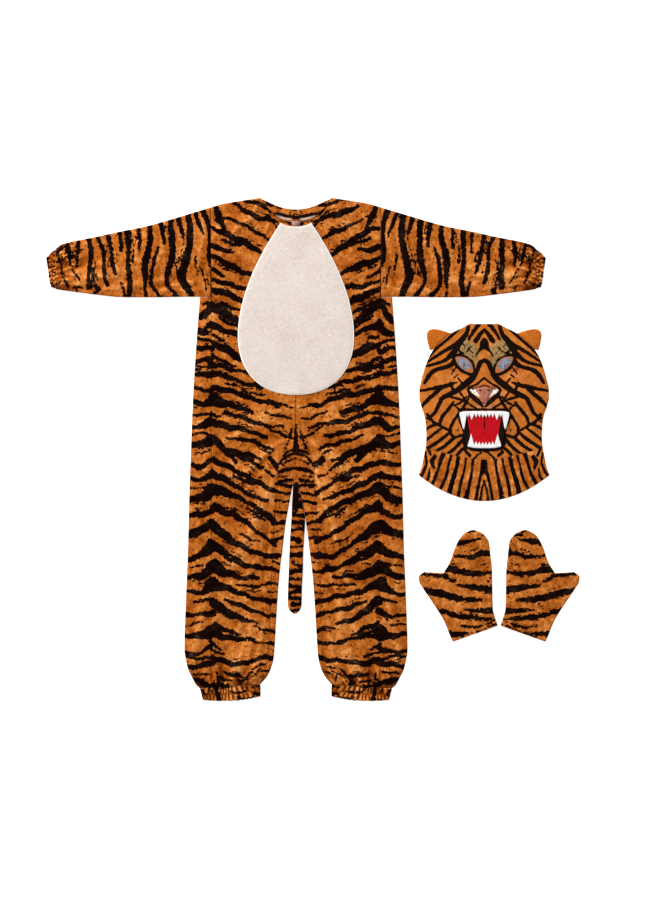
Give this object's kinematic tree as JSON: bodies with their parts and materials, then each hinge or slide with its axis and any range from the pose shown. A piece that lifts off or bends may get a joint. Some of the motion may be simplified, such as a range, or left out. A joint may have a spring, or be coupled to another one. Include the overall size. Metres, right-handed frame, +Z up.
{
  "type": "tiger costume: plush jumpsuit with a tail, hood mask and mitts, laid flat",
  "caption": "Child's plush tiger costume laid flat: striped jumpsuit with cream belly and tail, hood mask with open mouth, pair of mitts.",
  "frame": {"origin": "centre of the layout's outline, on the surface that it lies on", "axes": "+X across the layout to the mask and mitts, +Y up the jumpsuit to its neck, +Z up through the cloth"},
  "size_m": [1.0654, 1.0052, 0.0121],
  "materials": {
    "stripe_plush": "short-pile plush with black tiger stripes, soft sheen",
    "cream_plush": "cream short-pile plush",
    "ear_plush": "plain orange plush",
    "eye_net": "fine grey see-through net",
    "nose_felt": "brown-pink felt",
    "black_felt": "black felt",
    "red_felt": "red felt",
    "white_felt": "white felt",
    "label_tape": "bare woven tape"
  },
  "bodies": {
    "root": {"front_left": "stripe_plush", "front_right": "stripe_plush", "back_left": "stripe_plush", "back_right": "stripe_plush", "crotch_gusset": "stripe_plush", "sleeve_left": "stripe_plush", "sleeve_right": "stripe_plush", "wrist_casing_left": "stripe_plush", "wrist_casing_right": "stripe_plush", "ankle_casing_left": "stripe_plush", "ankle_casing_right": "stripe_plush", "neck_facing": "stripe_plush", "neck_label": "label_tape", "belly_patch": "cream_plush", "tail": "stripe_plush", "mask_face": "stripe_plush", "mask_back": "stripe_plush", "bib_front": "stripe_plush", "bib_back": "stripe_plush", "ear_left": "ear_plush", "ear_right": "ear_plush", "eye_net_left": "eye_net", "eye_net_right": "eye_net", "nose": "nose_felt", "mouth_lining": "black_felt", "tongue": "red_felt", "upper_teeth": "white_felt", "lower_teeth": "white_felt", "mitt_back_left": "stripe_plush", "mitt_back_right": "stripe_plush", "mitt_palm_left": "stripe_plush", "mitt_palm_right": "stripe_plush"}
  },
  "joints": []
}
